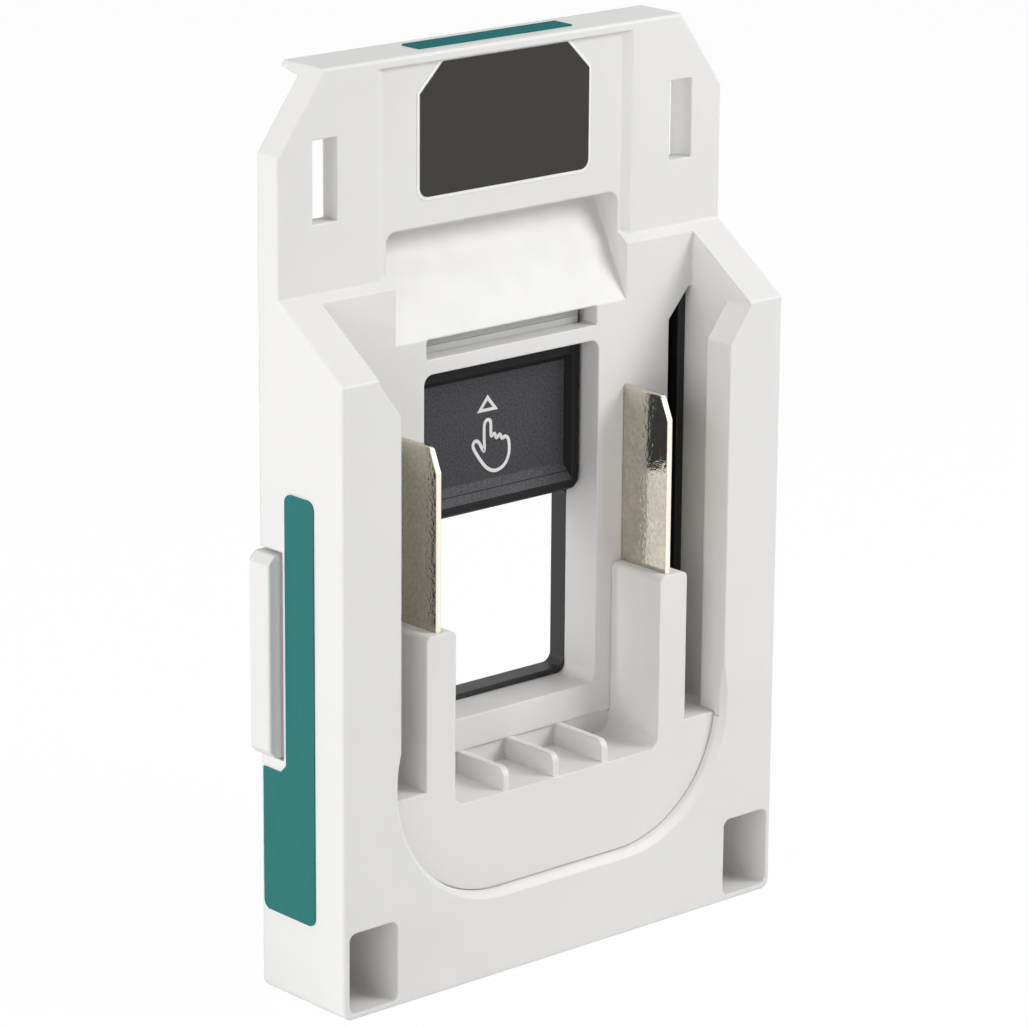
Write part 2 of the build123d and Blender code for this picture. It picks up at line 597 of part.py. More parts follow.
# Terminal block
def terminal_block():
    """The U-shaped block in the opening, with two legs that carry the blades and three fins."""
    inset = SEAT_GAP
    body = forward(cradle(inset, SHOULDER_TOP), BLOCK_BACK, BLOCK_DEPTH)
    leg = box(LEG_IN, LEG_OUT, FLOOR_DEPTH + SEAT_GAP / 2, BLOCK_DEPTH, NOTCH_FLOOR, LEG_TOP)
    tops = [e for e in leg.edges().filter_by(Axis.Y) if e.center().Z > SHOULDER_TOP]
    body += join(pair(fillet(tops, LEG_ROUND)))
    notch_back = FLOOR_DEPTH - WALL / 4
    notch = box(-LEG_IN, LEG_IN, notch_back, BLOCK_DEPTH + OVERRUN, NOTCH_FLOOR, LEG_TOP)
    lows = [e for e in notch.edges().filter_by(Axis.Y) if e.center().Z < NOTCH_FLOOR + NOTCH_ROUND]
    body -= fillet(lows, NOTCH_ROUND)
    seat = FRONT_BACK - SEAT_GAP
    body += forward(cradle(inset - FLANGE_LIP, CHANNEL_FOOT - FLANGE_DROP), seat - FLANGE_THICK, seat)
    body -= block_hollow()
    body += join([block_rib((i - (RIB_COUNT - 1) / 2) * RIB_PITCH) for i in range(RIB_COUNT)])
    for cutter in pair(blade_slot()):
        body -= cutter
    return body


def block_hollow():
    """The space inside the block, open at its back."""
    front = BLOCK_DEPTH - BLOCK_WALL
    back = BLOCK_BACK - OVERRUN
    hollow = forward(cradle(SEAT_GAP + BLOCK_WALL, SHOULDER_TOP - BLOCK_WALL), back, front)
    low = NOTCH_FLOOR - BLOCK_WALL
    wide = LEG_IN + BLOCK_WALL / 4
    return hollow - box(-wide, wide, back - OVERRUN, front + OVERRUN, low, SHOULDER_TOP)


def block_rib(x):
    """One fin on the floor between the legs, with a round front top corner."""
    half = RIB_THICK / 2
    rib = box(x - half, x + half, FLOOR_DEPTH - WALL / 2, BLOCK_DEPTH - RIB_BACK_OFF,
              NOTCH_FLOOR - BLOCK_WALL / 2, NOTCH_FLOOR + RIB_TALL)
    corner = [e for e in place_edges(rib, BLOCK_DEPTH - RIB_BACK_OFF, Axis.X) if e.center().Z > NOTCH_FLOOR]
    return fillet(corner, RIB_ROUND)


def blade_slot():
    """The slot in a leg that a blade and its tail sit in."""
    half = BLADE_THICK / 2 + SEAT_GAP / 2
    low = SHOULDER_TOP - BLOCK_WALL - OVERRUN
    outline_points = [(FLOOR_DEPTH - EDGE_ROUND, LEG_TOP + OVERRUN),
                      (BLADE_FRONT + SEAT_GAP, LEG_TOP + OVERRUN),
                      (BLADE_FRONT + SEAT_GAP, BLADE_WIDE_FOOT - SEAT_GAP),
                      (TAIL_FRONT + SEAT_GAP, BLADE_WIDE_FOOT - SEAT_GAP), (TAIL_FRONT + SEAT_GAP, low),
                      (TAIL_BACK - SEAT_GAP, low), (TAIL_BACK - SEAT_GAP, BLADE_WIDE_FOOT - SEAT_GAP),
                      (FLOOR_DEPTH - EDGE_ROUND, BLADE_WIDE_FOOT - SEAT_GAP)]
    return across(outline_points, BLADE_X - half, BLADE_X + half)


# Conductors
def blade():
    """The right blade terminal, a plate on edge with a cut corner and a tail inside the block."""
    half = BLADE_THICK / 2
    points = [(BLADE_BACK, BLADE_TOP), (BLADE_FRONT - BLADE_CUT_DEEP, BLADE_TOP),
              (BLADE_FRONT, BLADE_TOP - BLADE_CUT_TALL), (BLADE_FRONT, BLADE_WIDE_FOOT),
              (TAIL_FRONT, BLADE_WIDE_FOOT), (TAIL_FRONT, TAIL_FOOT), (TAIL_BACK, TAIL_FOOT),
              (TAIL_BACK, BLADE_WIDE_FOOT), (BLADE_BACK, BLADE_WIDE_FOOT)]
    plate = across(points, BLADE_X - half, BLADE_X + half)
    cut_edge = MIDDLE - BLADE_FRONT + BLADE_CUT_DEEP + SEAT_GAP
    corners = [e for e in plate.edges().filter_by(Axis.X) if e.center().Z > LEG_TOP
               and e.center().Y < cut_edge]
    plate = fillet(corners, BLADE_ROUND)
    rims = [e for e in plate.edges() if e.center().Z > LEG_TOP
            and abs(abs(e.center().X - BLADE_X) - half) < SEAT_GAP
            and e.center().Y < MIDDLE - TAIL_FRONT]
    plate = chamfer(rims, BLADE_THICK / 4)
    return plate - rivet_hole()


def rivet_place():
    """Depth and height of the rivet that joins a tail and a bus bar."""
    return (BUS_FRONT + TAIL_FRONT) / 2, (TAIL_FOOT + BUS_TOP) / 2


def rivet_hole():
    """The hole for the rivet, along X."""
    depth, height = rivet_place()
    plane = Plane.YZ.offset(BLADE_X - OVERRUN)
    face = plane * (Pos(MIDDLE - depth, height) * Circle(RIVET_ROUND + SEAT_GAP / 2))
    return extrude(face, OVERRUN * 2)


def bus_bar():
    """The right bus bar, from the blade's tail to the back of a rear contact."""
    side = BLADE_X - BLADE_THICK / 2
    back = BUS_FRONT - BUS_THICK
    plan = [(BUS_END, back), (side, back), (side, TAIL_FRONT), (side - BUS_THICK, TAIL_FRONT),
            (side - BUS_THICK, BUS_FRONT), (BUS_END, BUS_FRONT)]
    bar = upward(plan, TAIL_FOOT, BUS_TOP)
    bend = [e for e in bar.edges().filter_by(Axis.Z) if e.center().X > side - BUS_THICK / 2
            and e.center().Y > MIDDLE - BUS_FRONT]
    return fillet(bend, BUS_THICK) - rivet_hole()


def rivet():
    """The right rivet, with a head on both sides."""
    depth, height = rivet_place()
    middle = Pos(MIDDLE - depth, height)
    inner = BLADE_X - BLADE_THICK / 2 - BUS_THICK
    outer = BLADE_X + BLADE_THICK / 2
    shank = extrude(Plane.YZ.offset(inner) * (middle * Circle(RIVET_ROUND)), outer - inner)
    head = extrude(Plane.YZ.offset(outer) * (middle * Circle(RIVET_HEAD)), RIVET_CAP)
    tail = extrude(Plane.YZ.offset(inner - RIVET_CAP) * (middle * Circle(RIVET_HEAD)), RIVET_CAP)
    return shank + head + tail


def rear_contact():
    """The right rear contact: two sprung leaves from a folded sheet, flared at the mouth."""
    gap, sheet = CONTACT_GAP / 2, CONTACT_SHEET
    flare = CONTACT_MOUTH / 2
    end = BUS_FRONT - BUS_THICK
    neck = CONTACT_BACK + CONTACT_MOUTH
    half = [(gap, neck), (flare, CONTACT_BACK), (flare + sheet, CONTACT_BACK), (gap + sheet, neck),
            (gap + sheet * 2, CARRIER_FRONT - sheet), (gap + sheet * 2, end)]
    inner = [(gap + sheet, end - sheet), (gap + sheet, CARRIER_FRONT - sheet)]
    plan = [(CONTACT_X + x, d) for x, d in half]
    plan += [(CONTACT_X - x, d) for x, d in reversed(half)]
    plan += [(CONTACT_X - x, d) for x, d in reversed(inner)]
    plan += [(CONTACT_X + x, d) for x, d in inner]
    return upward(plan, TAIL_FOOT, BUS_TOP)


def contact_carrier():
    """The insulator that holds both rear contacts against the cover."""
    side = CONTACT_X + CARRIER_SIDE
    body = box(-side, side, COVER_FRONT, CARRIER_FRONT, CARRIER_FOOT, CARRIER_TOP)
    uprights = body.edges().filter_by(Axis.Y)
    body = fillet(uprights, POCKET_WALL)
    half = CARRIER_POCKET / 2
    pocket = box(CONTACT_X - half, CONTACT_X + half, COVER_FRONT - OVERRUN, CARRIER_FRONT + OVERRUN,
                 TAIL_FOOT - SEAT_GAP, BUS_TOP + SEAT_GAP)
    for cutter in pair(pocket):
        body -= cutter
    gap = CARRIER_SIDE / 2
    return body - box(-gap, gap, COVER_FRONT + WALL, CARRIER_FRONT + OVERRUN, CARRIER_FOOT - OVERRUN,
                      CARRIER_TOP - WALL)


# Release slider and latch
def release_slider():
    """The black finger tray that slides up in the window, with guide flanges and two studs."""
    body = forward(panel(-SLIDER_X, SLIDER_X, SLIDER_FOOT, SLIDER_TOP, SLIDER_ROUND), SLIDER_BACK,
                   SLIDER_FRONT)
    rims = [e for e in body.edges() if abs(e.center().Y - MIDDLE + SLIDER_FRONT) < SEAT_GAP]
    body = chamfer(rims, SLIDER_EDGE)
    body -= tray_hollow()
    inner = SLIDER_X - SLIDER_RIM
    flange = box(inner, FLANGE_X, SLIDER_BACK, FLANGE_FRONT, FLANGE_FOOT, FLANGE_TOP)
    flange -= box(0, SLIDER_X - EDGE_ROUND, SLIDER_BACK + SLIDER_WEB, FLANGE_FRONT + OVERRUN, FLANGE_FOOT,
                  FLANGE_TOP)
    stud = Pos(STUD_X, MIDDLE - STUD_DEPTH, SLIDER_TOP - STUD_TALL) * Cylinder(
        STUD_ROUND, STUD_TALL * 2, align=(Align.CENTER, Align.CENTER, Align.MIN))
    return body + join(pair(flange)) + join(pair(stud))


def tray_hollow():
    """The hollow of the finger tray, with slanted walls and a stepped slant at its foot."""
    floor = SLIDER_BACK + SLIDER_WEB
    mid = (floor + SLIDER_FRONT) / 2
    front = SLIDER_FRONT + OVERRUN
    side = SLIDER_X - SLIDER_RIM
    foot = SLIDER_FOOT + SLIDER_RIM
    top = SLIDER_TOP - SLIDER_RIM
    step = foot + TRAY_FOOT
    profile = [(SLIDER_FRONT, foot), (mid, step), (mid, step + TRAY_STEP),
               (floor, step + TRAY_FOOT + TRAY_STEP),
               (floor, top - TRAY_TOP), (SLIDER_FRONT, top), (front, top), (front, foot)]
    plan = [(TRAY_SIDE - side, floor), (side - TRAY_SIDE, floor), (side, SLIDER_FRONT), (side, front),
            (-side, front),
            (-side, SLIDER_FRONT)]
    return across(profile, -side, side) & upward(plan, foot, top)


def latch_bar():
    """The light bar on top of the slider that carries the two rear hooks."""
    foot = SLIDER_TOP
    top = foot + LATCH_TALL
    lean = foot + LATCH_UPRIGHT
    bar = across([(SLIDER_BACK, foot), (SLIDER_FRONT, foot), (SLIDER_FRONT, lean),
                  (SLIDER_FRONT - LATCH_STEP, lean),
                  (LATCH_TOP_FRONT, top), (SLIDER_BACK, top)], -SLIDER_X, SLIDER_X)
    bar = chamfer(place_edges(bar, SLIDER_FRONT, Axis.Z), LATCH_CORNER)
    tip = SLIDER_BACK - HOOK_REACH
    hook = across([(SLIDER_BACK + SEAT_GAP, top), (tip + HOOK_TIP, top), (tip, top - HOOK_TIP),
                   (tip, top - HOOK_NECK - HOOK_DROP), (tip + HOOK_TIP, top - HOOK_NECK - HOOK_DROP),
                   (tip + HOOK_TIP, top - HOOK_NECK), (SLIDER_BACK + SEAT_GAP, top - HOOK_NECK)],
                  HOOK_X - HOOK_WIDE / 2, HOOK_X + HOOK_WIDE / 2)
    bar += join(pair(hook))
    hole = Pos(STUD_X, MIDDLE - STUD_DEPTH, foot) * Cylinder(STUD_ROUND + SEAT_GAP / 2,
                                                             (STUD_TALL + SEAT_GAP) * 2)
    for cutter in pair(hole):
        bar -= cutter
    return bar


def slider_spring():
    """The right return spring, an open coil from the flange up to the housing's seat."""
    foot = FLANGE_TOP + SPRING_WIRE / 2 + SEAT_GAP / 2
    length = SPRING_TOP - SEAT_GAP / 2 - SPRING_WIRE / 2 - foot
    runs = SPRING_TURNS * SPRING_RUNS
    turns = [math.tau * i / SPRING_RUNS for i in range(runs + 1)]
    line = Polyline(*[(SPRING_ROUND * math.cos(a), SPRING_ROUND * math.sin(a), length * i / runs)
                      for i, a in enumerate(turns)])
    start = Plane(line @ 0, z_dir=line % 0)
    coil = sweep(start * RegularPolygon(SPRING_WIRE / 2, SPRING_SIDES), path=line,
                 transition=Transition.RIGHT)
    return Pos(SPRING_X, MIDDLE - SPRING_DEPTH, foot) * coil


# Guide keys
def guide_key():
    """The right guide key: a bevelled bar through the skirt, with a flange behind it."""
    out = HALF + KEY_OUT
    key = box(SKIRT_X - SEAT_GAP, out, 0, KEY_FRONT, KEY_FOOT, KEY_TOP)
    ends = [e for e in key.edges().filter_by(Axis.Y) if e.center().X > HALF]
    key = chamfer(ends, KEY_BEVEL)
    rims = [e for e in key.edges().filter_by(Axis.Z) if e.center().X > HALF]
    key = fillet(rims, EDGE_ROUND)
    grow = KEY_FLANGE_GROW
    inner = SKIRT_X - SEAT_GAP
    flange = box(inner - KEY_FLANGE, inner, COVER_FRONT, KEY_FRONT + grow, KEY_FOOT - grow, KEY_TOP + grow)
    return key + flange


# Labels
def label_plate():
    """The dark plate in the recess, with two cut corners."""
    face = outline([(-PLATE_HALF, PLATE_FOOT), (PLATE_HALF, PLATE_FOOT), (PLATE_HALF, PLATE_TOP - PLATE_CUT),
                    (PLATE_HALF - PLATE_CUT, PLATE_TOP), (PLATE_CUT - PLATE_HALF, PLATE_TOP),
                    (-PLATE_HALF, PLATE_TOP - PLATE_CUT)])
    lows = [v for v in face.vertices() if v.Y < PLATE_FOOT + PLATE_ROUND]
    return forward(fillet(lows, PLATE_ROUND), LABEL_DEPTH, LABEL_DEPTH + LABEL_THICK)


def side_label():
    """The teal label on the left side, wider below the guide key."""
    slant = SIDE_LABEL_GROW / 4
    back = SIDE_LABEL_BACK
    front = back + SIDE_LABEL_WIDE
    top = KEY_TOP + SIDE_LABEL_RISE
    step = KEY_FOOT - SIDE_LABEL_DROP
    points = [(back - SIDE_LABEL_GROW, SIDE_LABEL_FOOT), (front, SIDE_LABEL_FOOT), (front, top), (back, top),
              (back, step + slant), (back - slant, step), (back - SIDE_LABEL_GROW, step)]
    label = across(points, -HALF - LABEL_THICK, -HALF)
    corners = [e for e in label.edges().filter_by(Axis.X) if e.center().Z < step - slant
               or e.center().Z > step + slant * 2]
    return fillet(corners, SIDE_LABEL_ROUND)


def top_label():
    """The teal strip on the top edge."""
    return box(-TOP_LABEL_HALF, TOP_LABEL_HALF, TOP_LABEL_BACK, TOP_LABEL_FRONT, HEIGHT,
               HEIGHT + LABEL_THICK)


def both(name, right):
    """A right piece and its mirror image, each under its own name."""
    return {f"{name}_right": right, f"{name}_left": mirror(right, about=Plane.YZ)}


def main():
    pieces = {
        "front_housing": front_housing(),
        "rear_cover": rear_cover(),
        "cover_screws": cover_screws(),
        "terminal_block": terminal_block(),
        "contact_carrier": contact_carrier(),
        "release_slider": release_slider(),
        "latch_bar": latch_bar(),
        "label_plate": label_plate(),
        "side_label": side_label(),
        "top_label": top_label(),
        "busbar_rivets": Compound(children=pair(rivet())),
        **both("blade_terminal", blade()),
        **both("bus_bar", bus_bar()),
        **both("rear_contact", rear_contact()),
        **both("slider_spring", slider_spring()),
        **both("guide_key", guide_key()),
    }
    os.makedirs("parts", exist_ok=True)
    for name, solid in pieces.items():
        export_step(solid, f"parts/{name}.step")
        print(name, len(solid.solids()), round(solid.volume, 1), solid.is_valid)


main()
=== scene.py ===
import math

import bmesh
import bpy
from mathutils import Matrix, Vector


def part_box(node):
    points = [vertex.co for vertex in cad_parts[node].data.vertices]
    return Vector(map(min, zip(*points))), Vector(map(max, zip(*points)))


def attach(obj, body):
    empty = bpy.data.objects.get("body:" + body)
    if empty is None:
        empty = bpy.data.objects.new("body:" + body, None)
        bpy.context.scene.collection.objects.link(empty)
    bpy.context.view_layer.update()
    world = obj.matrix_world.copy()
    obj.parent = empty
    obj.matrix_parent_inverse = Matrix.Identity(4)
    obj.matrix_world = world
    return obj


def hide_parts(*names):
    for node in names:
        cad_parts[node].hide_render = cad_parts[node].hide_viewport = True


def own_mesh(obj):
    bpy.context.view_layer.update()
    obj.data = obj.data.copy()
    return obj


# The looks of a slide-on battery adapter: materials for every solid, the sign and the upper rim of
# the slider's tray, the two coiled springs, flat crosses of painted shade for the screws' drives,
# the pale edge of the dark plate, a pale floor, soft studio light and the camera.
# Everything is in metres, in the same frame as the solids. MM turns millimetres into metres.

MM = 0.001

# Camera
CAMERA_PLACE = (-0.4159, -0.4694, 0.2448)
CAMERA_YAW = 41.50
CAMERA_PITCH = 16.27
CAMERA_ROLL = 0.42
CAMERA_LENS = 165.3
CAMERA_SENSOR = 36.0
CAMERA_NEAR = 0.01

# Studio
FLOOR_HALF = 3.0
FLOOR_COLOUR = (0.82, 0.82, 0.82)
FLOOR_ROUGH = 0.9
FLOOR_GLOW_SHARE = 0.965  # how much of the floor is plain white to the camera
GLOW = 1.0                # white to the camera
WHITE = (1.0, 1.0, 1.0)
BACKDROP = (0.8, 0.8, 0.8)
AMBIENT = 0.06

LIGHT_AIM = (0.0, 0.0, 0.065)

# Soft lights: name, place, width and power
SOFTBOXES = [
    ("front_light", (0.36, -0.42, 0.42), 0.35, 2.95),
    ("left_light", (-1.05, 0.25, 0.35), 0.7, 6.9),
    ("low_light", (-1.0, -0.45, 0.25), 0.7, 4.3),
    ("top_light", (0.0, -0.10, 1.25), 0.7, 4.2)]

# Sign on the slider's tray, in millimetres: x from the middle, height from the slider's foot
SIGN_LINE = 0.5
SIGN_THICK = 0.05
SHARPEST = 0.4          # keeps the line's outer corners from running out too far
ARROW = [(-2.05, 13.85), (-0.6, 15.6), (0.85, 13.85)]
HAND = [(-1.2, 8.05), (-1.2, 10.4), (-1.1, 11.95), (-0.55, 12.4), (0.0, 11.95), (0.1, 10.05),
        (0.7, 10.2), (1.1, 9.55), (1.7, 9.9), (2.15, 9.3), (2.75, 9.45), (3.35, 8.8), (3.4, 6.9),
        (2.55, 5.4), (0.95, 4.85), (-0.65, 5.5), (-2.15, 7.2), (-3.2, 8.9), (-2.9, 9.65), (-2.2, 9.45)]
CURVE_STEPS = 6

# The slider's tray, in millimetres
TRAY_WEB = 1.7          # the tray's floor stands this far in front of the slider's back
TRAY_RIM = 1.5          # width of the rim round the tray
TRAY_SLANT = 1.1        # how far the lip's lower side slants down to the floor
SLIDER_TALL = 22.6      # the slider's body, without its flanges
SLIDER_HALF = 15.6      # half of the body's width
LIP_DROP = 1.3          # how far the tray's upper rim reaches down
RIM_SHADE_BLEND = (0.2, 0.1)  # the painted shade on the rim fades out between these places in front of the floor

# Crosses of painted shade for the cover's screw drives, and the pale edge of the dark plate, in millimetres
DRIVE_LONG = 2.8
DRIVE_WIDE = 0.7
DRIVE_RISE = 0.04       # how far a drive stands out of the head, and reaches into it
SCREW_APART = 6.5       # points of one screw lie closer than this, points of two screws further apart
PLATE_RIM = 0.45
PLATE_RIM_THICK = 0.12
PLATE_CUT = 4.0         # the plate's cut corners
PLATE_ROUND = 1.4

# Return springs
WIRE_SHARE = 0.135      # thickness of the wire as a share of the coil's outer width
END_TURNS = 1.5         # closed turns at each end
OPEN_TURNS = 6.0
ALL_TURNS = END_TURNS * 2 + OPEN_TURNS
TURN_STEPS = 28
WIRE_SIDES = 10

# Colours
SHELL = (0.79, 0.783, 0.774)
BLOCK = (0.79, 0.78, 0.765)
# Painted highlight along the edges of the shell and the terminal block
SHELL_EDGE_HIGHLIGHT = (0.93, 0.925, 0.915)
LIGHT_BAR = (0.80, 0.80, 0.785)
GREY_TRAY = (0.056, 0.056, 0.063)
# Lighter edges of the tray: partly wear, partly a painted highlight
TRAY_WEAR_AND_HIGHLIGHT = (0.09, 0.09, 0.10)
# Painted shade on the rim and walls of the slider's tray
TRAY_RIM_SHADE = (0.010, 0.010, 0.011)
BLACK = (0.014, 0.014, 0.015)
# Lighter edges of the cover: partly wear, partly a painted highlight
COVER_WEAR_AND_HIGHLIGHT = (0.05, 0.05, 0.052)
TIN = (0.70, 0.645, 0.55)
# Painted highlight on the tin's edges and front faces
TIN_EDGE_HIGHLIGHT = (0.93, 0.88, 0.79)
STEEL = (0.50, 0.50, 0.51)
SCREW = (0.10, 0.10, 0.105)
# Painted shade of the screws' drive recesses
DRIVE_SHADE = (0.012, 0.012, 0.012)
PLATE = (0.048, 0.046, 0.043)
PLATE_EDGE = (0.16, 0.155, 0.15)
RIM_WHITE = (0.97, 0.97, 0.96)
TEAL = (0.022, 0.172, 0.165)
TEAL_EDGE = (0.05, 0.30, 0.29)
TEAL_STRIP = (0.014, 0.150, 0.155)
PAPER_WHITE = (0.80, 0.80, 0.80)

# How a colour varies, as shares of it
PATCH = 0.96            # slow change over a plastic
BLACK_PATCH = 0.85
EDGE_LIFT = 1.06        # edges of a plastic, lighter from wear and a painted highlight
TARNISH = 0.86
SPOT = 0.78             # spots on rolled tin
# Painted highlight on a metal's edges, as a share of its colour
METAL_EDGE_LIFT = 1.35
RUB = 0.93              # rub marks on a film

# How much light a surface that isn't metal reflects
PLAIN_SHINE = 0.5       # Blender's own value
COVER_SHINE = 0.45
TRAY_SHINE = 0.20
FILM_SHINE = 0.12       # matt printed film reflects little
STRIP_SHINE = 0.02

# Surface detail
EDGE_SMOOTH = 0.7       # roughness of worn edges, as a share of the plastic's
LINE_WIDER = 1.5        # rolling lines against the grain
LINE_SHALLOWER = 0.5
BEVEL_SAMPLES = 6

# How a pattern is drawn out along x, y and z
EVEN = (1.0, 1.0, 1.0)
ROLLED = (1.0, 1.0, 12.0)
RUBBED = (1.0, 1.0, 2.5)

# The material of each solid, by the start of its name
MATERIAL_OF = {
    "front_housing": "shell", "guide_key": "shell", "terminal_block": "block", "release_slider": "tray",
    "latch_bar": "bar", "rear_cover": "cover", "contact_carrier": "cover", "blade_terminal": "tin",
    "bus_bar": "tin", "rear_contact": "tin", "busbar_rivets": "tin", "cover_screws": "screw",
    "slider_spring": "spring", "label_plate": "plate", "side_label": "teal", "top_label": "strip"}


# Shader nodes
def new_material(name):
    material = bpy.data.materials.new(name)
    material.use_nodes = True
    tree = material.node_tree
    return material, tree, tree.nodes["Principled BSDF"]


def tinted(colour, share):
    """A colour made darker or lighter, up to white."""
    return tuple(min(1.0, c * share) for c in colour)


def object_place(tree):
    """Object coordinates, which are metres in the part's frame."""
    return tree.nodes.new("ShaderNodeTexCoord").outputs["Object"]


def noise(tree, size, detail=2.0, stretch=EVEN):
    """Noise with features of about one size, in millimetres, drawn out along an axis by stretch."""
    mapping = tree.nodes.new("ShaderNodeMapping")
    mapping.inputs["Scale"].default_value = [1.0 / (size * MM * s) for s in stretch]
    tree.links.new(object_place(tree), mapping.inputs["Vector"])
    node = tree.nodes.new("ShaderNodeTexNoise")
    node.inputs["Scale"].default_value = 1.0
    node.inputs["Detail"].default_value = detail
    tree.links.new(mapping.outputs["Vector"], node.inputs["Vector"])
    return node.outputs["Fac"]


def ramp(tree, value, low=0.0, high=1.0, start=0.3, end=0.7):
    """A value mapped from start..end to low..high, clamped."""
    node = tree.nodes.new("ShaderNodeMapRange")
    node.inputs["From Min"].default_value = start
    node.inputs["From Max"].default_value = end
    node.inputs["To Min"].default_value = low
    node.inputs["To Max"].default_value = high
    tree.links.new(value, node.inputs["Value"])
    return node.outputs["Result"]


def mix(tree, factor, first, second, kind="RGBA"):
    """Two colours mixed by a factor, or two numbers where kind is VALUE.

    Each of the two is written out or is another node's output.
    """
    node = tree.nodes.new("ShaderNodeMix")
    node.data_type = "RGBA" if kind == "RGBA" else "FLOAT"
    tree.links.new(factor, node.inputs["Factor"])
    for name, part in (("A", first), ("B", second)):
        socket = next(s for s in node.inputs if s.name == name and s.type == kind)
        if isinstance(part, bpy.types.NodeSocket):
            tree.links.new(part, socket)
        elif kind == "RGBA":
            socket.default_value = (*part, 1.0)
        else:
            socket.default_value = part
    return next(s for s in node.outputs if s.type == kind)


def product(tree, first, second):
    """One node's output times another's."""
    node = tree.nodes.new("ShaderNodeMath")
    node.operation = "MULTIPLY"
    tree.links.new(first, node.inputs[0])
    tree.links.new(second, node.inputs[1])
    return node.outputs[0]


def component(tree, vector, axis):
    """One component of a vector: X, Y or Z."""
    node = tree.nodes.new("ShaderNodeSeparateXYZ")
    tree.links.new(vector, node.inputs[0])
    return node.outputs[axis]


def facing(tree, axis, start, end):
    """0 to 1 as a component of the face's direction goes from start to end."""
    geometry = tree.nodes.new("ShaderNodeNewGeometry")
    return ramp(tree, component(tree, geometry.outputs["Normal"], axis), start=start, end=end)


def rounded(tree, radius):
    """A normal that rounds sharp edges over a radius in millimetres."""
    node = tree.nodes.new("ShaderNodeBevel")
    node.samples = BEVEL_SAMPLES
    node.inputs["Radius"].default_value = radius * MM
    return node.outputs["Normal"]


def edge_mask(tree, normal):
    """1 along sharp edges and 0 on flat stretches."""
    geometry = tree.nodes.new("ShaderNodeNewGeometry")
    dot = tree.nodes.new("ShaderNodeVectorMath")
    dot.operation = "DOT_PRODUCT"
    tree.links.new(normal, dot.inputs[0])
    tree.links.new(geometry.outputs["Normal"], dot.inputs[1])
    return ramp(tree, dot.outputs["Value"], low=1.0, high=0.0, start=0.80, end=0.995)


def bump(tree, height, depth, normal):
    """A bump of a real depth in millimetres, on top of another normal."""
    node = tree.nodes.new("ShaderNodeBump")
    node.inputs["Distance"].default_value = depth * MM
    node.inputs["Strength"].default_value = 1.0
    tree.links.new(height, node.inputs["Height"])
    tree.links.new(normal, node.inputs["Normal"])
    return node.outputs["Normal"]


# Materials
def plastic(name, colour, rough, grain, depth, edge_radius, shade=PATCH, wear_and_highlight_colour=None, wear_and_highlight=0.5,
            shine=PLAIN_SHINE, speckle=0.0, rim=None):
    """A moulded plastic: fine grain, slow colour change, and smoother edges, lighter from wear and a
    painted highlight.

    speckle is the strength of small light and dark dots, in place of the slow change. rim is a place
    along Y and a colour of painted shade: what stands in front of that place takes that colour, as if
    in shade, apart from faces that are turned up.
    """
    material, tree, shader = new_material(name)
    links = tree.links
    shader.inputs["Specular IOR Level"].default_value = shine
    if speckle:
        dots = ramp(tree, noise(tree, size=0.32, detail=1.0), start=0.32, end=0.68)
        base = mix(tree, dots, tinted(colour, 1.0 - speckle), tinted(colour, 1.0 + speckle))
    else:
        patches = ramp(tree, noise(tree, size=22.0, detail=3.0))
        base = mix(tree, patches, tinted(colour, shade), colour)
    # Painted shade: faces in front of the tray's floor that don't face up take the dark rim colour
    if rim:
        place, rim_shade = rim
        far, near = (place - distance * MM for distance in RIM_SHADE_BLEND)
        in_rim_shade = ramp(tree, component(tree, object_place(tree), "Y"), low=1.0, high=0.0, start=far, end=near)
        not_up = facing(tree, "Z", start=0.4, end=0.2)
        base = mix(tree, product(tree, in_rim_shade, not_up), base, rim_shade)
    normal = rounded(tree, edge_radius)
    scuff = noise(tree, size=3.0, detail=4.0)
    # Edges take a lighter colour in patches: partly wear, partly a painted highlight
    amount = product(tree, edge_mask(tree, normal), ramp(tree, scuff, low=wear_and_highlight * 0.5, high=wear_and_highlight))
    links.new(mix(tree, amount, base, wear_and_highlight_colour or tinted(colour, EDGE_LIFT)), shader.inputs["Base Color"])
    finish = ramp(tree, scuff, low=rough - 0.04, high=rough + 0.05)
    links.new(mix(tree, amount, finish, rough * EDGE_SMOOTH, kind="VALUE"), shader.inputs["Roughness"])
    links.new(bump(tree, noise(tree, grain, detail=3.0), depth, normal), shader.inputs["Normal"])
    return material


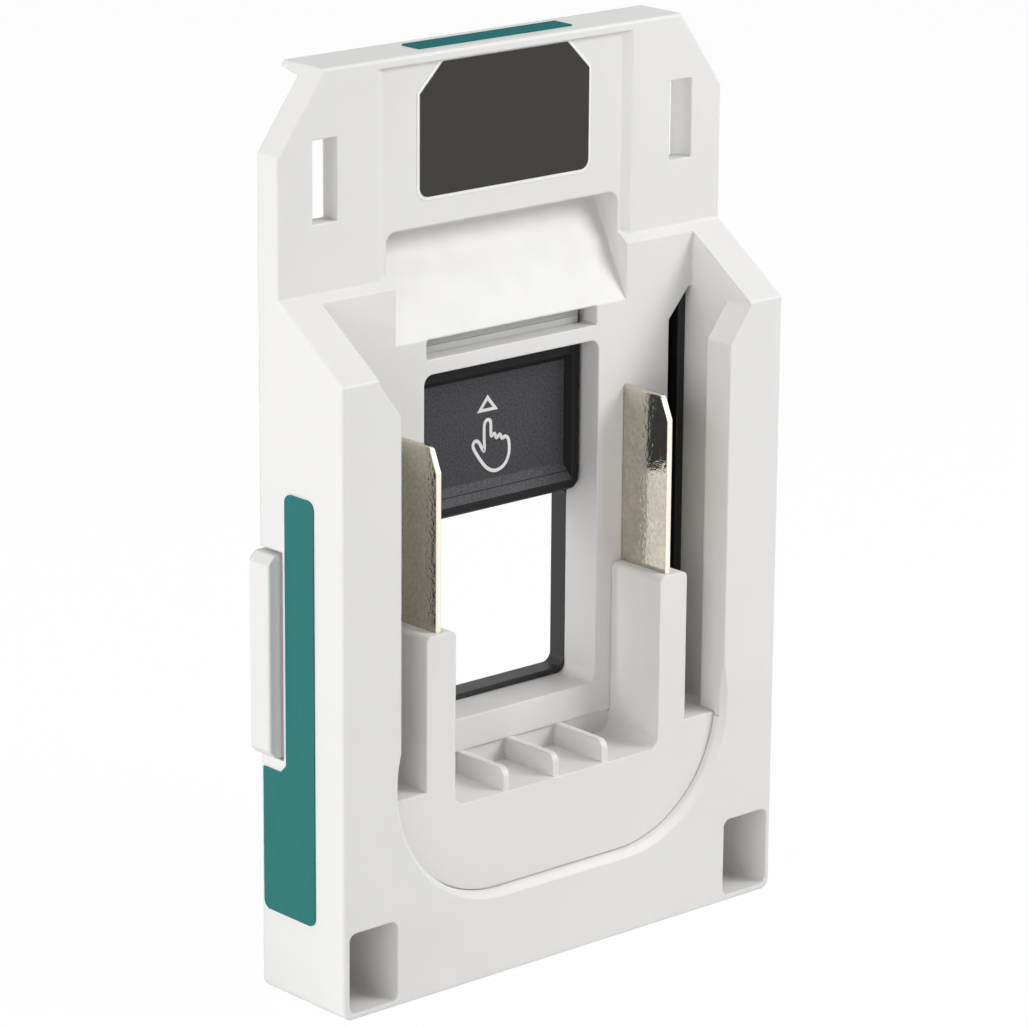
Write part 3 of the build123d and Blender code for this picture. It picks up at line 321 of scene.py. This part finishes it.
def metal(name, colour, rough, grain, depth, edge_radius, stretch=EVEN, edge_highlight=None, cut=None):
    """A plated metal: pitted, with rolling lines, and edges made lighter as a painted highlight.

    cut is the roughness of a sheet's cut edges, which face the front; these faces also take the painted
    highlight colour.
    """
    material, tree, shader = new_material(name)
    links = tree.links
    shader.inputs["Metallic"].default_value = 1.0
    normal = rounded(tree, edge_radius)
    tarnish = ramp(tree, noise(tree, size=4.0, detail=4.0))
    base = mix(tree, tarnish, tinted(colour, TARNISH), colour)
    if cut:
        spots = ramp(tree, noise(tree, grain, detail=3.0), start=0.38, end=0.62)
        base = mix(tree, spots, tinted(colour, SPOT), base)
    edge_highlight = edge_highlight or tinted(colour, METAL_EDGE_LIFT)
    # Painted highlight: edges, and with cut also the faces turned to the front, take a lighter colour
    highlighted = mix(tree, edge_mask(tree, normal), base, edge_highlight)
    lines = noise(tree, grain * LINE_WIDER, stretch=stretch)
    finish = ramp(tree, lines, low=rough * 0.7, high=rough * 1.5)
    if cut:
        front = facing(tree, "Y", start=-0.5, end=-0.7)
        highlighted = mix(tree, front, highlighted, edge_highlight)
        finish = mix(tree, front, finish, cut, kind="VALUE")
    links.new(highlighted, shader.inputs["Base Color"])
    links.new(finish, shader.inputs["Roughness"])
    pits = bump(tree, noise(tree, grain), depth, normal)
    links.new(bump(tree, lines, depth * LINE_SHALLOWER, pits), shader.inputs["Normal"])
    return material


def film(name, colour, rough, edge, shine=FILM_SHINE):
    """A printed film label: a slightly lighter cut edge, faint orange peel and rub marks."""
    material, tree, shader = new_material(name)
    links = tree.links
    shader.inputs["Specular IOR Level"].default_value = shine
    normal = rounded(tree, radius=0.12)
    rub = noise(tree, size=2.4, detail=5.0, stretch=RUBBED)
    tone = mix(tree, ramp(tree, rub), tinted(colour, RUB), colour)
    links.new(mix(tree, edge_mask(tree, normal), tone, edge), shader.inputs["Base Color"])
    links.new(ramp(tree, rub, low=rough - 0.05, high=rough + 0.06), shader.inputs["Roughness"])
    links.new(bump(tree, noise(tree, size=0.5), depth=0.004, normal=normal), shader.inputs["Normal"])
    return material


def make_materials():
    """Every material by a short name. Grain, depth and edge radius are in millimetres."""
    tray_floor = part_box("release_slider")[1][1] - TRAY_WEB * MM
    return {
        "shell": plastic("shell_plastic", SHELL, rough=0.46, grain=0.18, depth=0.006, edge_radius=0.40,
                         wear_and_highlight_colour=SHELL_EDGE_HIGHLIGHT, wear_and_highlight=0.9),
        "block": plastic("block_plastic", BLOCK, rough=0.48, grain=0.20, depth=0.008, edge_radius=0.40,
                         wear_and_highlight_colour=SHELL_EDGE_HIGHLIGHT, wear_and_highlight=0.9),
        # The tray's rim and walls get painted shade
        "tray": plastic("tray_plastic", GREY_TRAY, rough=0.50, grain=0.34, depth=0.040, edge_radius=0.20,
                        wear_and_highlight_colour=TRAY_WEAR_AND_HIGHLIGHT, wear_and_highlight=0.4, shine=TRAY_SHINE, speckle=0.30,
                        rim=(tray_floor, TRAY_RIM_SHADE)),
        "cover": plastic("cover_plastic", BLACK, rough=0.42, grain=0.30, depth=0.020, edge_radius=0.20,
                         shade=BLACK_PATCH, wear_and_highlight_colour=COVER_WEAR_AND_HIGHLIGHT, shine=COVER_SHINE),
        "bar": plastic("bar_plastic", LIGHT_BAR, rough=0.42, grain=0.20, depth=0.006, edge_radius=0.15),
        "tin": metal("tin_plate", TIN, rough=0.10, grain=0.60, depth=0.045, edge_radius=0.30,
                     stretch=ROLLED, edge_highlight=TIN_EDGE_HIGHLIGHT, cut=0.55),
        "spring": metal("spring_steel", STEEL, rough=0.25, grain=0.20, depth=0.003, edge_radius=0.05),
        "screw": metal("screw_steel", SCREW, rough=0.34, grain=0.20, depth=0.004, edge_radius=0.10),
        "plate": film("plate_film", PLATE, rough=0.42, edge=PLATE_EDGE),
        "teal": film("teal_film", TEAL, rough=0.38, edge=TEAL_EDGE),
        "strip": film("strip_film", TEAL_STRIP, rough=0.55, edge=TEAL_EDGE, shine=STRIP_SHINE),
        "sign": plastic("sign_paint", PAPER_WHITE, rough=0.45, grain=0.15, depth=0.010, edge_radius=0.03),
        "drive": metal("drive_shade_steel", DRIVE_SHADE, rough=0.45, grain=0.20, depth=0.004, edge_radius=0.05),
        "rim": plastic("rim_film", RIM_WHITE, rough=0.50, grain=0.30, depth=0.004, edge_radius=0.05)}


def dress(nodes, materials):
    """A material on every solid."""
    for name, thing in nodes.items():
        start = next(key for key in MATERIAL_OF if name.startswith(key))
        thing.data.materials.clear()
        thing.data.materials.append(materials[MATERIAL_OF[start]])


# Pieces
def finish_piece(name, mesh, material, smooth=True):
    """An object from a mesh in the making, with faces turned outwards."""
    bmesh.ops.recalc_face_normals(mesh, faces=mesh.faces)
    data = bpy.data.meshes.new(name)
    mesh.to_mesh(data)
    mesh.free()
    data.materials.append(material)
    for face in data.polygons:
        face.use_smooth = smooth
    piece = bpy.data.objects.new(name, data)
    bpy.context.scene.collection.objects.link(piece)
    return piece


def join_rings(mesh, first, second):
    """A strip of faces between two closed rings of as many points each."""
    count = len(first)
    for k in range(count):
        nearby = (k + 1) % count
        mesh.faces.new((first[k], first[nearby], second[nearby], second[k]))


def prism(name, ends, material, body):
    """A solid piece between two outlines with as many corners each. All in metres."""
    mesh = bmesh.new()
    rings = [[mesh.verts.new(point) for point in end] for end in ends]
    for ring in rings:
        mesh.faces.new(ring)
    join_rings(mesh, *rings)
    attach(finish_piece(name, mesh, material, smooth=False), body)


def flat_piece(name, outline, back, front, material):
    """A flat piece with an outline in x and z, between two places along Y. All in metres."""
    prism(name, [[(x, y, z) for x, z in outline] for y in (back, front)], material, "adapter_body")


def smooth_loop(points):
    """A smooth closed line through points of a plane, by the Catmull-Rom formula."""
    line = []
    count = len(points)
    for i in range(count):
        before, start, end, after = (Vector(points[(i + k) % count]) for k in (-1, 0, 1, 2))
        for step in range(CURVE_STEPS):
            t = step / CURVE_STEPS
            pull = (end - before) * t + (before * 2 - start * 5 + end * 4 - after) * t ** 2
            pull += (start * 3 - before - end * 3 + after) * t ** 3
            line.append(start + pull * 0.5)
    return line


def ribbon(name, line, front, material):
    """A flat closed line of even width that lies on a face turned to -Y. Points are x and z in metres."""
    mesh = bmesh.new()
    count = len(line)
    raised = front - SIGN_THICK * MM
    rings = []
    for i in range(count):
        before = (line[i] - line[i - 1]).normalized()
        after = (line[(i + 1) % count] - line[i]).normalized()
        first, second = Vector((-before.y, before.x)), Vector((-after.y, after.x))
        side = (first + second) / max(1.0 + first.dot(second), SHARPEST) * (SIGN_LINE * MM / 2)
        outer, inner = line[i] + side, line[i] - side
        corners = ((outer, front), (outer, raised), (inner, raised), (inner, front))
        rings.append([mesh.verts.new((point.x, y, point.y)) for point, y in corners])
    for i in range(count):
        join_rings(mesh, rings[i], rings[(i + 1) % count])
    return finish_piece(name, mesh, material, smooth=False)


# The slider's sign and rim
def slider_sign(material):
    """An upward arrow head over a pointing hand, which tells that the slider is pushed up."""
    low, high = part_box("release_slider")
    front = high[1] - TRAY_WEB * MM
    for name, points, curved in (("arrow_sign", ARROW, False), ("hand_sign", HAND, True)):
        line = [Vector((x * MM, low[2] + z * MM)) for x, z in points]
        if curved:
            line = smooth_loop(line)
        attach(ribbon(name, line, front, material), "release_slide_body")


def tray_lip(material):
    """The upper rim of the slider's tray, which reaches down over the tray's floor."""
    low, high = (Vector(c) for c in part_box("release_slider"))
    front, floor = low.y, high.y - TRAY_WEB * MM
    side = SLIDER_HALF * MM - TRAY_RIM * MM
    top = low.z + (SLIDER_TALL - TRAY_RIM) * MM
    drop, slant = LIP_DROP * MM, TRAY_SLANT * MM
    profile = [(front, top), (front, top - drop), (floor, top - drop - slant), (floor, top)]
    ends = [[(way * side, y, z) for y, z in profile] for way in (-1, 1)]
    prism("tray_lip", ends, material, "release_slide_body")


# Screws and plate
def screw_places(screws):
    """Middle of each screw's head on its back face, from the screws' own mesh."""
    groups = []
    reach = SCREW_APART * MM
    for vertex in screws.data.vertices:
        point = vertex.co
        near = [g for g in groups if abs(g[0].x - point.x) < reach and abs(g[0].z - point.z) < reach]
        if near:
            near[0].append(point.copy())
        else:
            groups.append([point.copy()])
    places = []
    for group in groups:
        xs, ys, zs = ([p[k] for p in group] for k in range(3))
        places.append(((min(xs) + max(xs)) / 2, max(ys), (min(zs) + max(zs)) / 2))
    return places


def screw_drives(screws, material):
    """A flat dark cross on the head of each cover screw, painted shade in place of a drive recess."""
    a, b = DRIVE_WIDE * MM / 2, DRIVE_LONG * MM / 2
    cross = [(a, a), (a, b), (-a, b), (-a, a), (-b, a), (-b, -a),
             (-a, -a), (-a, -b), (a, -b), (a, -a), (b, -a), (b, a)]
    for i, (x, y, z) in enumerate(screw_places(screws)):
        outline = [(x + u, z + v) for u, v in cross]
        flat_piece(f"screw_drive_{i + 1}", outline, y + DRIVE_RISE * MM, y - DRIVE_RISE * MM, material)


def plate_rim(material):
    """The pale edge of the dark plate's film, a thin frame that it lies on."""
    low, high = (Vector(c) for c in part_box("label_plate"))
    grow = PLATE_RIM * MM
    left, right, foot, top = low.x - grow, high.x + grow, low.z - grow, high.z + grow
    cut = PLATE_CUT * MM + grow * (math.sqrt(2) - 1)  # the cuts grow by less than the sides
    bend = PLATE_ROUND * MM + grow
    points = [(right, top - cut), (right - cut, top), (left + cut, top), (left, top - cut)]
    for middle, start in ((left + bend, math.pi), (right - bend, math.pi * 3 / 2)):
        for step in range(CURVE_STEPS + 1):
            angle = start + math.pi / 2 * step / CURVE_STEPS
            points.append((middle + bend * math.cos(angle), foot + bend + bend * math.sin(angle)))
    flat_piece("plate_rim", points, high.y, high.y - PLATE_RIM_THICK * MM, material)


# Springs
def coil_height(turn):
    """Height share of the wire's middle at a turn: closed turns at both ends, open ones between."""
    wire = WIRE_SHARE / 2
    if turn < END_TURNS:
        return turn * wire
    if turn > ALL_TURNS - END_TURNS:
        return 1.0 - (ALL_TURNS - turn) * wire
    return END_TURNS * wire + (turn - END_TURNS) / OPEN_TURNS * (1.0 - END_TURNS * wire * 2)


def coil_path(low, high, wire):
    """Middle line of a coil that fills a box. wire is half the wire's thickness."""
    middle = (low + high) / 2
    radius = (high.x - low.x) / 2 - wire
    foot, rise = low.z + wire, high.z - low.z - wire * 2
    steps = int(ALL_TURNS * TURN_STEPS)
    path = []
    for step in range(steps + 1):
        turn = ALL_TURNS * step / steps
        angle = turn * math.tau
        path.append(Vector((middle.x + radius * math.cos(angle), middle.y + radius * math.sin(angle),
                            foot + rise * coil_height(turn))))
    return path


def round_wire(name, path, middle, wire, material):
    """Wire along a path that winds round a standing axis through middle. wire is half its thickness."""
    mesh = bmesh.new()
    last = len(path) - 1
    turns = [k * math.tau / WIRE_SIDES for k in range(WIRE_SIDES)]
    rings = []
    for step, point in enumerate(path):
        along = (path[min(step + 1, last)] - path[max(step - 1, 0)]).normalized()
        outward = Vector((point.x - middle.x, point.y - middle.y, 0.0)).normalized()
        upward = along.cross(outward)
        rings.append([mesh.verts.new(point + outward * wire * math.cos(a) + upward * wire * math.sin(a))
                      for a in turns])
    for ring, following in zip(rings, rings[1:]):
        join_rings(mesh, ring, following)
    mesh.faces.new(rings[0])
    mesh.faces.new(rings[-1])
    return finish_piece(name, mesh, material)


def spring(node, material):
    """A coil of round wire in the place of a spring's plain solid, which shortens as the slider rises."""
    low, high = (Vector(c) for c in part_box(node))
    middle = (low + high) / 2
    wire = (high.x - low.x) * WIRE_SHARE / 2
    piece = round_wire(node + "_coil", coil_path(low, high, wire), middle, wire, material)
    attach(piece, "adapter_body")
    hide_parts(node)
    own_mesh(piece)


# Studio
def seen_rays(tree, path, share):
    """A share for rays that the camera, a glossy or a clear surface sends, and 0 for the rest."""
    total = path.outputs["Is Camera Ray"]
    for name in ("Is Glossy Ray", "Is Transmission Ray"):
        add = tree.nodes.new("ShaderNodeMath")
        add.operation = "ADD"
        add.use_clamp = True
        tree.links.new(total, add.inputs[0])
        tree.links.new(path.outputs[name], add.inputs[1])
        total = add.outputs[0]
    scale = tree.nodes.new("ShaderNodeMath")
    scale.operation = "MULTIPLY"
    scale.inputs[1].default_value = share
    tree.links.new(total, scale.inputs[0])
    return scale.outputs[0]


def swap_for_seen_rays(tree, plain, shown, share, output):
    """Sends the plain shader to an output, with the shown one in its place for a share of the seen rays."""
    blend = tree.nodes.new("ShaderNodeMixShader")
    path = tree.nodes.new("ShaderNodeLightPath")
    tree.links.new(seen_rays(tree, path, share), blend.inputs[0])
    tree.links.new(plain.outputs[0], blend.inputs[1])
    tree.links.new(shown.outputs[0], blend.inputs[2])
    tree.links.new(blend.outputs[0], tree.nodes[output].inputs["Surface"])


def stage_floor():
    """A pale floor that the camera sees as nearly white, with the object's shadow kept."""
    mesh = bpy.data.meshes.new("floor")
    corners = [(-FLOOR_HALF, -FLOOR_HALF, 0), (FLOOR_HALF, -FLOOR_HALF, 0), (FLOOR_HALF, FLOOR_HALF, 0),
               (-FLOOR_HALF, FLOOR_HALF, 0)]
    mesh.from_pydata(corners, [], [(0, 1, 2, 3)])
    floor = bpy.data.objects.new("floor", mesh)
    bpy.context.scene.collection.objects.link(floor)
    material, tree, shader = new_material("floor_paint")
    shader.inputs["Base Color"].default_value = (*FLOOR_COLOUR, 1.0)
    shader.inputs["Roughness"].default_value = FLOOR_ROUGH
    glow = tree.nodes.new("ShaderNodeEmission")
    glow.inputs["Color"].default_value = (*WHITE, 1.0)
    glow.inputs["Strength"].default_value = GLOW
    swap_for_seen_rays(tree, shader, glow, FLOOR_GLOW_SHARE, "Material Output")
    mesh.materials.append(material)


def studio_world():
    """A pale backdrop where the camera looks past the floor, and a soft even light on the object."""
    world = bpy.data.worlds.new("studio")
    bpy.context.scene.world = world
    world.use_nodes = True
    tree = world.node_tree
    light = tree.nodes["Background"]
    light.inputs["Color"].default_value = (*WHITE, 1.0)
    light.inputs["Strength"].default_value = AMBIENT
    pale = tree.nodes.new("ShaderNodeBackground")
    pale.inputs["Color"].default_value = (*BACKDROP, 1.0)
    pale.inputs["Strength"].default_value = GLOW
    swap_for_seen_rays(tree, light, pale, 1.0, "World Output")


def softbox(name, place, size, power):
    """A square soft light that points at the object."""
    data = bpy.data.lights.new(name, "AREA")
    data.shape = "SQUARE"
    data.size = size
    data.energy = power
    lamp = bpy.data.objects.new(name, data)
    lamp.location = place
    aim = Vector(LIGHT_AIM) - Vector(place)
    lamp.rotation_euler = aim.to_track_quat("-Z", "Y").to_euler()
    bpy.context.scene.collection.objects.link(lamp)


def add_camera():
    data = bpy.data.cameras.new("camera")
    data.lens = CAMERA_LENS
    data.sensor_width = CAMERA_SENSOR
    data.clip_start = CAMERA_NEAR
    camera = bpy.data.objects.new("camera", data)
    turn = Matrix.Rotation(math.radians(-CAMERA_YAW), 4, "Z")
    tip = Matrix.Rotation(math.radians(90.0 - CAMERA_PITCH), 4, "X")
    roll = Matrix.Rotation(math.radians(CAMERA_ROLL), 4, "Z")
    camera.matrix_world = Matrix.Translation(CAMERA_PLACE) @ turn @ tip @ roll
    bpy.context.scene.collection.objects.link(camera)
    bpy.context.scene.camera = camera


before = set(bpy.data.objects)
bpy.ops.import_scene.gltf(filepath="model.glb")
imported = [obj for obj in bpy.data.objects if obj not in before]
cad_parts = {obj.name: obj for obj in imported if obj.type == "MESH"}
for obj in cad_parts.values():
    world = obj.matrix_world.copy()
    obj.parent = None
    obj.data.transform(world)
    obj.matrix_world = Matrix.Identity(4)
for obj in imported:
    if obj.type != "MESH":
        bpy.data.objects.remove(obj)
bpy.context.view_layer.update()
add_camera()
bpy.context.scene.view_settings.view_transform = "Standard"
stage_floor()
studio_world()
for light in SOFTBOXES:
    softbox(*light)
materials = make_materials()
dress(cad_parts, materials)
slider_sign(materials["sign"])
tray_lip(materials["tray"])
screw_drives(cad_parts["cover_screws"], materials["drive"])
plate_rim(materials["rim"])
for side in ("right", "left"):
    spring("slider_spring_" + side, materials["spring"])
